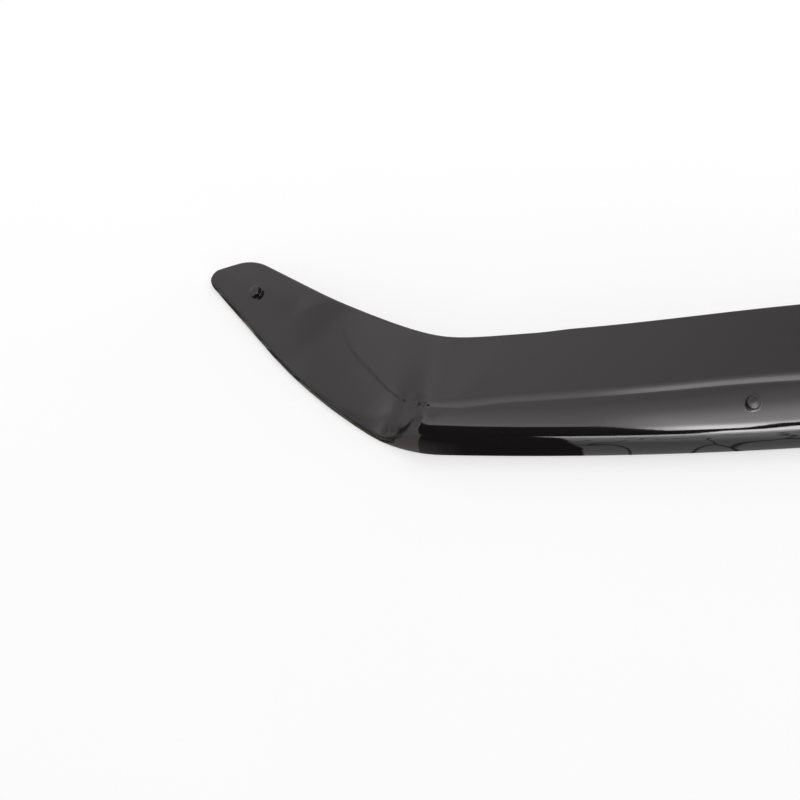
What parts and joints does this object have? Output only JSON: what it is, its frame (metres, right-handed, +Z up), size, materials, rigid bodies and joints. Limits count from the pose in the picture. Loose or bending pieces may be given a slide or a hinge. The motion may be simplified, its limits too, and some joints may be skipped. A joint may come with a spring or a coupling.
{
  "type": "hood bug deflector",
  "caption": "Long curved shield for the front edge of a vehicle hood, with a rolled lower lip, a joggled crease, swept-back wings and raised fixing buttons.",
  "frame": {"origin": "middle of the shield's outline in plan, on the level that its rim rests on", "axes": "+X across the vehicle, the shield's long way, -Y to the front, +Z up"},
  "size_m": [1.4644, 0.3599, 0.1024],
  "materials": {
    "shield": "gloss"
  },
  "bodies": {
    "root": {"deflector_shield": "shield"}
  },
  "joints": []
}
